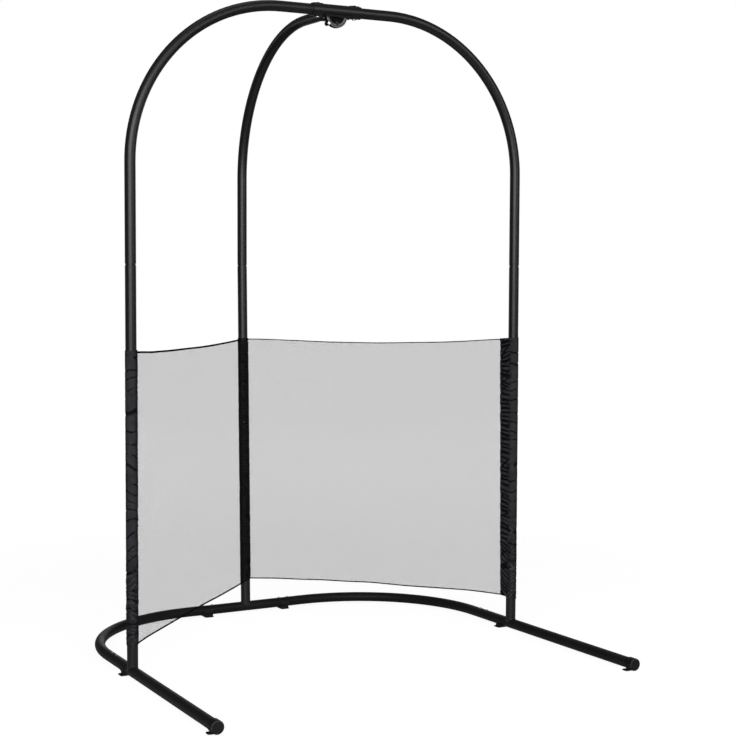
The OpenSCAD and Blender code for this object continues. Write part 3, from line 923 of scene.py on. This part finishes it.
@dataclass
class NetScreen(Piece):
    """One net panel with its two hems, between a front leg's sleeve and the back leg's.

    The curves top and low give the height of each hem's middle by the distance from the front leg.
    """

    leg: Leg
    top: Curve
    low: Curve
    reach_top: float = 0.0513
    reach_low: float = 0.0422
    back_gap: float = 0.0205
    cut_height: float = 0.992
    top_hem: float = 0.0070
    low_hem: float = 0.0062
    hem_thick: float = 0.0028
    hem_before: float = 0.004
    hem_past: float = 0.002
    hem_pinch: float = 0.10
    hem_corner: float = 0.6
    hem_stride: float = 0.004
    billow: float = 0.004
    free_from: float = 0.05
    free_before: float = 0.03
    free_over: float = 0.15
    mid_rise: float = 0.599
    columns: int = 112
    rows: int = 90
    hem_stations: int = 300
    hem_sides: int = 16

    def edge(self, along: float, upper: bool) -> float:
        """Height of a hem's middle above the ground at a distance from the front leg."""
        return through(self.top if upper else self.low, along)

    def start(self, share: float) -> float:
        """Distance of the net's front edge from the leg's middle at a share of the height."""
        return self.reach_low + (self.reach_top - self.reach_low) * share

    def place(self, along: float, height: float, share: float) -> Vector:
        """A point of the cloth.

        Args:
            along: Distance from the front leg's middle along the panel.
            height: Height above the ground.
            share: Share of the panel's height, from 0 to 1.

        Returns:
            The point, bellied a little out of the panel's plane.
        """
        past_front = unit((along - self.free_from) / self.free_over)
        before_back = unit((STANCE.net_run - self.free_before - along) / self.free_over)
        belly = past_front * before_back * (0.35 + math.sin(math.pi * share))
        drift = ripple(along * 2.3 + 7 * self.leg.value, share * 1.7) + 0.35 * ripple(along * 9, share * 3 + 4)
        slope = math.tan(STANCE.back_lean)
        lean = (height - STANCE.base_lift) * slope * along / STANCE.net_run
        mid = self.mid_rise * slope * along / STANCE.net_run
        level = STANCE.foot(self.leg) + STANCE.panel_way(self.leg) * along
        point = level + STANCE.panel_out(self.leg) * (self.billow * belly * drift) + Vector((0, lean - mid, 0))
        point.z = height
        return point

    def build(self) -> None:
        """Builds the net and its hems."""
        side = self.leg.name.lower()
        end = STANCE.net_run - self.back_gap
        points, runs = [], []
        for share in spread(self.rows, 0.0, 1.0):
            line, marks = [], []
            for part in spread(self.columns, 0.0, 1.0):
                along = self.start(share) + (end - self.start(share)) * part
                low = self.edge(along, False)
                height = low + (self.edge(along, True) - low) * share
                line.append(self.place(along, height, share))
                marks.append((along, height, 0.0))
            points.append(line)
            runs.append(marks)
        net = self.settle(skin(f"net_{side}", points, runs), NET, Slot.NET, (f"net_panel_{side}",))
        tapes = [self.hem(side, end, False, self.low_hem), self.hem(side, end, True, self.top_hem)]
        hems = self.settle(joined(f"hem_{side}", tapes), TAPE, Slot.TAPE, (f"hem_tapes_{side}",))

    def hem(self, side: str, end: float, upper: bool, height: float) -> bpy.types.Object:
        """Builds one hem tape.

        Args:
            side: The panel's side, for the name.
            end: Distance of the net's back edge from the front leg's middle.
            upper: Whether it is the top hem.
            height: The tape's height.

        Returns:
            The tape.
        """
        share = 1.0 if upper else 0.0
        rows, runs = [], []
        for along in spread(self.hem_stations, self.start(share) - self.hem_before, end + self.hem_past):
            here = self.place(along, self.edge(along, upper), share)
            beyond = along + self.hem_stride
            ahead = self.place(beyond, self.edge(beyond, upper), share) - here
            out = Vector((ahead.y, -ahead.x, 0)).normalized()
            rise = ahead.cross(out).normalized()
            rise = rise if rise.z > 0 else -rise
            pinch = 1 + self.hem_pinch * ripple(along * 90, share)
            ring, marks = [], []
            for turn in spread(self.hem_sides + 1, 0.0, math.tau):
                wide, tall = (
                    math.copysign(abs(way) ** self.hem_corner, way) * 0.5 * size * pinch
                    for way, size in ((math.cos(turn), self.hem_thick), (math.sin(turn), height))
                )
                ring.append(here + out * wide + rise * tall)
                marks.append((along, tall, 0.0))
            rows.append(ring)
            runs.append(marks)
        return skin(f"hem_{side}_{upper}", rows, runs)


@dataclass
class LegSleeve(Piece):
    """A cloth sleeve around a front leg, drawn out and gathered into a ruched band where the net is sewn in.

    The tones are painted light and shade, from 0 to 1: a level where it lies flat, and what relief adds, painted
    pale on crests and painted dark in valleys and creases.
    """

    leg: Leg
    low: float = 0.125
    high: float = 1.138
    low_slant: float = 0.227
    top_slant: float = -0.06
    reach_top: float = 0.0513
    reach_low: float = 0.0422
    cloth_r: float = 0.0206
    thick: float = 0.0012
    seam: float = 0.016
    cut_length: float = 1.16
    fullness: float = 1.2
    fold: float = 0.0062
    fold_pitch: float = 0.0175
    fold_slants: Curve = ((0.0, -0.95), (0.10, -0.75), (0.30, -0.35), (0.55, -0.20), (0.80, -0.05), (1.0, 0.42))
    crossing_slant: float = 1.1
    crease: float = 0.0013
    crease_pitch: float = 0.042
    crease_width: float = 0.055
    scribble: float = 0.0011
    scribble_pitch: float = 0.018
    scribble_strands: tuple[tuple[float, float], ...] = ((0.012, 5.0), (-0.010, 8.0))
    lower_share: float = 0.42
    lower_blend: float = 0.25
    # Painted light and shade: levels for the band and for the cloth on the leg, darker towards the bottom, and
    # what folds and creases add.
    band_tone: float = 0.62
    leg_tone: float = 0.66
    lower_tone: float = 0.16
    fold_tone: float = 0.9
    crease_tone: float = 600.0
    around: int = 96
    rise_step: float = 0.0018
    turned_in: float = 0.007

    def share_at(self, height: float) -> float:
        """Share of the sleeve's length at a height."""
        return (height - self.low) / (self.high - self.low)

    def lower(self, height: float) -> float:
        """1 in the sleeve's lower part and 0 above it."""
        return eased((self.lower_share - self.share_at(height)) / self.lower_blend)

    def section(self, reach: float) -> tuple[float, float, float]:
        """Sizes of the sleeve's teardrop outline.

        Args:
            reach: Distance of its tip from the leg's middle.

        Returns:
            The angle at which the band leaves the leg, the band's length and the outline's whole length.
        """
        leave = math.acos(self.cloth_r / reach)
        band = self.cloth_r * math.tan(leave)
        return leave, band, 2 * band + 2 * (math.pi - leave) * self.cloth_r

    def gathers(self, height: float, out: float, side: float, band: float) -> float:
        """Relief of the gathered band: broad crests between narrow slanting valleys.

        Each fold's depth, middle and width come from noise read at the fold's own number. A second,
        rarer family of valleys crosses the first.

        Args:
            height: Height along the leg.
            out: Share of the way from the leg to the tip.
            side: 1 on one face of the band and -1 on the other.
            band: Length of the band.

        Returns:
            The relief, from about -1 in a valley to 0.2 on a crest.
        """
        slant = through(self.fold_slants, self.share_at(height)) + 0.5 * ripple(height * 16, side * 4.0)
        level = height + slant * (out - 0.6) * band
        turns = level / self.fold_pitch + 0.55 * ripple(level * 26, side * 3.1)
        turns += 0.15 * ripple(level * 80, side * 5.7, 2.0)
        fold = math.floor(turns)
        deep = 0.75 + 0.7 * ripple(fold * 0.71, side * 9.3, 5.0)
        middle = 0.5 + 0.22 * ripple(fold * 1.37, side * 2.3, 9.0)
        wide = 0.17 + 0.08 * out + 0.09 * ripple(fold * 0.93, side * 6.1, 3.0)
        valley = notch(turns - fold - middle, wide)
        begun = out + 0.12 + 0.25 * ripple(fold * 2.1, side, 7.0)
        ends = eased(begun / 0.45) * eased((1.02 - out) / 0.18)
        other = height + (slant + self.crossing_slant) * (out - 0.5) * band
        present = eased(2.5 * ripple(height * 9, side * 2.2, 6.0) + 0.4)
        crossing = notch(ripple(other * 23, side * 7.7, 4.0), 0.07) * present
        small = 0.25 * notch(ripple(level * 95, out * 1.5, side * 3), 0.10)
        return (0.25 - 1.25 * max(deep * valley, 0.85 * crossing) - small) * ends

    def wrinkles(self, height: float, angle: float) -> float:
        """Relief of the cloth that lies on the leg: a few thin creases, and fine raised lines lower down.

        Args:
            height: Height along the leg.
            angle: Angle around the leg from the band, in radians.

        Returns:
            The relief in metres.
        """
        tilt = 0.024 * ripple(height * 6, 2.0) * math.sin(angle)
        tilt += 0.003 * math.sin(2 * angle + 9 * ripple(height * 3, 6.0))
        level = height + tilt
        turns = level / self.crease_pitch + 0.9 * ripple(level * 13, self.leg.value * 2.0)
        bend = math.floor(turns)
        deep = 0.75 + 1.6 * ripple(bend * 0.9, angle * 0.8, 4.0)
        creases = notch(turns - bend - 0.5 - 0.25 * ripple(bend * 1.7, 3.0), self.crease_width) * deep
        lines = 0.0
        for slope, seed in self.scribble_strands:
            strand = (height + slope * angle) / self.scribble_pitch + 1.1 * ripple(height * 24, angle * 0.7, seed)
            present = eased(2.6 * ripple(height * 19, angle * 1.3, seed + 20.0) + 0.35)
            lines += notch(strand - math.floor(strand) - 0.5, 0.10) * present
        return self.scribble * self.lower(height) * lines - self.crease * max(0.0, creases)

    def outline(self, share: float, height: float, reach: float) -> tuple[float, float, float, float]:
        """A point of the outline.

        Args:
            share: Share of the way round, from the tip and back to it.
            height: Height along the leg.
            reach: Distance of the tip from the leg's middle.

        Returns:
            Distance along the panel, distance across it, the run around the outline, and the painted light and
            shade from 0 to 1.
        """
        leave, band, whole = self.section(reach)
        run = share * whole
        side = -1.0 if share < 0.5 else 1.0
        walked = min(run, whole - run)
        if walked < band:
            out = 1 - walked / band
            relief = self.gathers(height, out, side, band)
            on_leg = self.wrinkles(height, leave) * (1 - out) ** 2
            tip = reach + 0.0012 * ripple(height * 60, 3.0) * out
            raised = self.fold * relief + on_leg
            along = self.cloth_r * math.cos(leave) * (1 - out) + tip * out + raised * math.cos(leave)
            across = self.cloth_r * math.sin(leave) * (1 - out) + self.thick * out + raised * math.sin(leave)
            sway = 0.0016 * out**2 * ripple(height * 33, 8.0)
            # Painted light and shade: pale on fold crests, dark in valleys and creases.
            tone = self.band_tone + self.fold_tone * relief + self.crease_tone * on_leg * (1 - out)
            return along, side * max(across, 0.0004) + sway, run, unit(tone)
        angle = leave + (walked - band) / self.cloth_r
        drawn = math.exp(-(angle - leave) / 0.30) * self.gathers(height, 0.0, side, band)
        wrinkle = self.wrinkles(height, angle if side > 0 else math.tau - angle)
        radius = self.cloth_r + 0.5 * self.fold * drawn + wrinkle + 0.0003 * ripple(height * 40, angle, side)
        # Painted light and shade: darker towards the bottom, and dark in folds and creases.
        tone = self.leg_tone - self.lower_tone * self.lower(height) + self.fold_tone * drawn
        tone += self.crease_tone * wrinkle
        return radius * math.cos(angle), side * radius * math.sin(angle), run, unit(tone)

    def build(self) -> None:
        """Builds the sleeve."""
        side = self.leg.name.lower()
        way, out, foot = STANCE.panel_way(self.leg), STANCE.panel_out(self.leg), STANCE.foot(self.leg)
        length = self.high - self.low
        rows, runs, reliefs = [], [], []
        for share, inside in hemmed(int(length / self.rise_step), self.turned_in / length):
            reach = self.reach_low + (self.reach_top - self.reach_low) * share - (self.thick if inside else 0.0)
            height = self.low + length * share
            slant = self.low_slant * (1 - share) ** 12 + self.top_slant * share**12
            row, marks, tones = [], [], []
            for part in spread(self.around, 0.0, 1.0):
                along, across, run, tone = self.outline(part, height, reach)
                if inside:
                    along, across = along * 0.955, across * 0.93
                point = foot + way * along + out * across
                point.z = height + along * slant
                row.append(point)
                marks.append((run, height * self.fullness, min(height - self.low, self.high - height)))
                tones.append(tone)
            rows.append(row)
            runs.append(marks)
            reliefs.append(tones)
        cloth = skin(f"sleeve_{side}", rows, runs, reliefs)
        sleeve = self.settle(cloth, CLOTH, Slot.CLOTH, (f"leg_sleeve_{side}",))
        flat = (self.section(0.5 * (self.reach_low + self.reach_top))[2] + self.seam, self.cut_length)
        log.info("sleeve_%s is cut %.3f by %.3f m", side, *flat)


@dataclass
class BackSleeve(Piece):
    """The slim sleeve around the back leg, with a sewn ridge and puckers towards each net panel."""

    low_left: float = 0.1230
    low_right: float = 0.1417
    high: float = 1.119
    cloth_r: float = 0.0208
    thick: float = 0.0011
    seam: float = 0.02
    cut_length: float = 1.02
    fullness: float = 1.05
    ridge: float = 0.0022
    ridge_wide: float = 0.17
    pucker: float = 0.0026
    pucker_pitch: float = 0.013
    pucker_wide: float = 0.7
    crease: float = 0.0018
    flutter: float = 0.0003
    # Painted light and shade: a level for flat cloth, and how much paler raised cloth and darker creases are
    # painted.
    flat_tone: float = 0.7
    relief_tone: float = 300.0
    around: int = 80
    rise_step: float = 0.0024
    turned_in: float = 0.006

    def radius(self, angle: float, height: float) -> float:
        """Distance of the cloth from the leg's middle.

        Args:
            angle: Angle around the leg, 0 towards +X.
            height: Height along the leg.

        Returns:
            The distance.
        """
        cosine, sine = math.cos(angle), math.sin(angle)
        tilted = height + 0.012 * ripple(height * 6, 5.0) * sine
        creased = notch(ripple(tilted * 24, 0.6 * cosine, 0.6 * sine), 0.06)
        value = self.cloth_r + self.flutter * ripple(height * 55, cosine * 2, sine * 2) - self.crease * creased
        for leg in (Leg.LEFT, Leg.RIGHT):
            way = -STANCE.panel_way(leg)
            gap = math.acos(max(-1.0, min(1.0, way.x * cosine + way.y * sine)))
            wave = math.pi * height / self.pucker_pitch + 1.5 * ripple(height * 13, leg.value * 4.0)
            value += self.ridge * notch(gap, self.ridge_wide)
            value += self.pucker * (abs(math.sin(wave)) ** 0.7 - 0.6) * notch(gap, self.pucker_wide)
        return value

    def build(self) -> None:
        """Builds the sleeve."""
        foot = STANCE.foot(Leg.BACK)
        lean = Vector((0, math.sin(STANCE.back_lean), math.cos(STANCE.back_lean)))
        length = self.high - self.low_left
        middle, slope = 0.5 * (self.low_left + self.low_right), 0.5 * (self.low_right - self.low_left)
        rows, runs, reliefs = [], [], []
        for share, inside in hemmed(int(length / self.rise_step), self.turned_in / length):
            row, marks, tones = [], [], []
            for angle in spread(self.around, 0.5 * math.pi, 2.5 * math.pi):
                low = middle + slope * math.cos(angle)
                height = low + (self.high - low) * share
                radius = self.radius(angle, height) - (self.thick if inside else 0.0)
                out = Vector((math.cos(angle), math.sin(angle), 0)) * radius
                row.append(foot + out + lean * (height - foot.z))
                marks.append((angle * self.cloth_r, height * self.fullness, min(height - low, self.high - height)))
                # Painted light and shade: raised cloth painted pale, creases painted dark.
                tones.append(unit(self.flat_tone + self.relief_tone * (radius - self.cloth_r)))
            rows.append(row)
            runs.append(marks)
            reliefs.append(tones)
        cloth = skin("sleeve_back", rows, runs, reliefs)
        sleeve = self.settle(cloth, SHADED_CLOTH, Slot.CLOTH, ("leg_sleeve_back",))


# ---------- studio ----------


@dataclass
class Lamp:
    """A soft box aimed at a point. Its power is 4 watts for each square metre and unit of glow."""

    name: str
    stand: Triple
    aim: Triple
    width: float
    height: float
    glow: float
    tint: Colour = (0.965, 0.97, 1.0)

    def build(self) -> None:
        """Builds the lamp."""
        data = bpy.data.lights.new(self.name, "AREA")
        data.shape = "RECTANGLE"
        data.size = self.width
        data.size_y = self.height
        data.energy = 4 * self.width * self.height * self.glow
        data.color = self.tint
        item = bpy.data.objects.new(self.name, data)
        item.location = self.stand
        item.rotation_euler = (Vector(self.aim) - Vector(self.stand)).to_track_quat("-Z", "Y").to_euler()
        bpy.context.scene.collection.objects.link(item)


@dataclass
class Studio:
    """The camera, the pale floor, the world and the lamps. Angles are in degrees."""

    eye: Triple = (-2.6638, -5.0440, 1.3968)
    heading: float = -29.22
    pitch: float = 3.575
    roll: float = 0.230
    focal_mm: float = 76.82
    sensor_mm: float = 36.0
    farthest: float = 200.0
    ambient: float = 0.08
    floor_half: float = 60.0
    floor_drop: float = 0.0002
    floor_colour: Colour = (0.25, 0.25, 0.25)
    near_glow: Colour = (0.93, 0.93, 0.93)
    far_glow: Colour = (0.985, 0.985, 0.985)
    floor_bounce: float = 0.16
    lamps: tuple[Lamp, ...] = (
        Lamp("front_box", (-3.5, -6.3, 3.1), (0.0, 0.2, 1.7), 7.2, 4.2, 2.6),
        Lamp("side_box", (4.3, -6.6, 3.7), (0.0, 0.2, 1.8), 3.2, 3.2, 1.6),
        Lamp("back_box", (3.2, 7.0, 3.6), (0.0, 0.2, 1.2), 5.0, 3.6, 0.25),
        Lamp("top_box", (0.0, 0.2, 6.4), (0.0, 0.21, 1.0), 2.4, 2.4, 0.5),
    )

    def level_way(self) -> Triple:
        """The level direction in which the camera looks."""
        heading = math.radians(self.heading)
        return -math.sin(heading), math.cos(heading), 0.0

    def camera(self) -> None:
        """Builds the camera."""
        pitch, roll = math.radians(self.pitch), math.radians(self.roll)
        x, y, _ = self.level_way()
        ahead = Vector((x * math.cos(pitch), y * math.cos(pitch), -math.sin(pitch)))
        level = Vector((y, -x, 0))
        upright = level.cross(ahead)
        right = math.cos(roll) * level + math.sin(roll) * upright
        up = -math.sin(roll) * level + math.cos(roll) * upright
        data = bpy.data.cameras.new("camera")
        data.lens = self.focal_mm
        data.sensor_width = self.sensor_mm
        data.clip_end = self.farthest
        item = bpy.data.objects.new("camera", data)
        turned = Matrix((right, up, -ahead)).transposed().to_4x4()
        item.matrix_world = Matrix.Translation(self.eye) @ turned
        bpy.context.scene.collection.objects.link(item)
        bpy.context.scene.camera = item

    def rays(self, tree: Tree) -> tuple[Wire, Wire]:
        """1 for rays from the camera, and 1 for those that a gloss or glass sends on."""
        path = tree.add("ShaderNodeLightPath").socket.node
        kinds = ("Camera", "Glossy", "Transmission")
        camera, gloss, glass = (Wire(tree, path.outputs[f"Is {kind} Ray"]) for kind in kinds)
        return camera, gloss.larger(glass)

    def floor(self) -> None:
        """Builds the floor: white to the eye, with the frame's soft shadow on it."""
        mesh = bpy.data.meshes.new("floor")
        far, drop = self.floor_half, -self.floor_drop
        corners = [(-far, -far, drop), (far, -far, drop), (far, far, drop), (-far, far, drop)]
        mesh.from_pydata(corners, [], [(0, 1, 2, 3)])
        item = bpy.data.objects.new("floor", mesh)
        bpy.context.scene.collection.objects.link(item)
        tree = Tree("studio_floor")
        camera, sent_on = self.rays(tree)
        matt = tree.add("ShaderNodeBsdfDiffuse", None, {"Color": opaque(self.floor_colour)})
        away = tree.add("ShaderNodeVectorMath", {"operation": "LENGTH"}, {0: tree.place}, output="Value")
        depth = tree.reach(tree.place, self.level_way())
        shade = tree.blend(away.step(1.6, 5.0), self.near_glow, self.far_glow)
        mirrored = depth.step(5.0, 14.0).larger(away.step(1.8, 1.25) * self.floor_bounce)
        strength = camera.larger(sent_on * mirrored)
        glow = tree.add("ShaderNodeEmission", None, {"Color": shade, "Strength": strength})
        tree.end_in(tree.add("ShaderNodeAddShader", None, {0: matt, 1: glow}))
        mesh.materials.append(tree.material)

    def world(self) -> None:
        """Builds the world: white to the eye, white behind the frame to a gloss, and dim as a light."""
        tree = Tree("studio", world=True)
        bpy.context.scene.world = tree.material
        camera, sent_on = self.rays(tree)
        backdrop = tree.reach(tree.place, self.level_way()).step(0.92, 0.995)
        white = camera.larger(sent_on * backdrop)
        sockets = {"Color": (1.0, 1.0, 1.0, 1.0), "Strength": white + (1 - white) * self.ambient}
        tree.end_in(tree.add("ShaderNodeBackground", None, sockets))

    def build(self) -> None:
        """Builds the studio."""
        bpy.context.scene.view_settings.view_transform = "Standard"
        self.camera()
        self.floor()
        self.world()
        for lamp in self.lamps:
            lamp.build()
        log.info("studio with %d lamps", len(self.lamps))


# ---------- the whole ----------


def each(places: Sequence[str], *parts: str) -> tuple[str, ...]:
    """Names of the parts that come once at each place."""
    return tuple(f"{part}_{place}" for part in parts for place in places)


DRESSINGS = (
    Dressing(BASE_COAT, (*each(SIDES, "side_tube", "corner_tube"), "back_tee_tube")),
    Dressing(TUBE_COAT, (*each(LEGS, "lower_leg", "upper_leg"), "top_connector")),
    Dressing(GALVANISED, each(SIDES, "inner_sleeve_side", "inner_sleeve_back")),
    Dressing(BRIGHT_ZINC, ("base_joint_screws", "anchor_bolt", "anchor_nut")),
    Dressing(ZINC, ("leg_screws", "connector_nuts")),
    Dressing(PLASTIC, each(SIDES, "side_foot", "back_foot")),
    Dressing(CAP_PLASTIC, each(SIDES, "end_cap")),
    Dressing(BLACKENED, ("connector_bolts", "top_saddle_washers", "low_saddle_washers")),
    Dressing(BLACKENED, ("axle_bolt", "axle_nut", "anchor_spacer")),
    Dressing(BLOCK_COAT, ("hanger_saddle",)),
    Dressing(BLOCK_RIM, ("pulley_cheek_front", "pulley_cheek_back")),
    Dressing(WHEEL_NYLON, ("pulley_wheel",)),
    Dressing(BUSH_BRONZE, ("wheel_bush",)),
)

LEFT_NET = NetScreen(
    Leg.LEFT,
    top=(
        (0.04, 1.1140), (0.10, 1.1116), (0.17, 1.1080), (0.25, 1.1063), (0.36, 1.1047), (0.50, 1.1043),
        (0.65, 1.1035), (0.78, 1.1051), (0.91, 1.1079), (1.00, 1.1108), (1.09, 1.1140),
    ),
    low=(
        (0.04, 0.1115), (0.09, 0.1148), (0.14, 0.1171), (0.24, 0.1190), (0.40, 0.1216), (0.58, 0.1240),
        (0.71, 0.1243), (0.83, 0.1239), (0.97, 0.1252), (1.09, 0.1275),
    ),
)

RIGHT_NET = NetScreen(
    Leg.RIGHT,
    top=(
        (0.04, 1.1318), (0.09, 1.1288), (0.14, 1.1252), (0.20, 1.1208), (0.28, 1.1165), (0.38, 1.1132),
        (0.47, 1.1104), (0.55, 1.1087), (0.67, 1.1087), (0.77, 1.1095), (0.87, 1.1124), (0.97, 1.1145),
        (1.03, 1.1156), (1.09, 1.1153),
    ),
    low=(
        (0.04, 0.1355), (0.08, 0.1386), (0.13, 0.1422), (0.18, 0.1448), (0.30, 0.1463), (0.42, 0.1475),
        (0.50, 0.1503), (0.57, 0.1524), (0.67, 0.1508), (0.77, 0.1507), (0.87, 0.1479), (0.97, 0.1462),
        (1.03, 0.1434), (1.09, 0.1405),
    ),
    top_hem=0.0038,
    low_hem=0.0046,
)


def main() -> None:
    """Builds the studio, dresses the CAD nodes and builds the scene's own pieces."""
    logging.basicConfig(level=logging.INFO, format="%(name)s: %(message)s")
    Studio().build()
    for dressing in DRESSINGS:
        dressing.dress()
    for leg in Leg:
        CopedEdge(leg).build()
    LegSleeve(Leg.LEFT, low=0.118, high=1.122, low_slant=0.10, top_slant=0.0).build()
    LegSleeve(Leg.RIGHT).build()
    BackSleeve().build()
    LEFT_NET.build()
    RIGHT_NET.build()


if __name__ == "__main__":
    main()
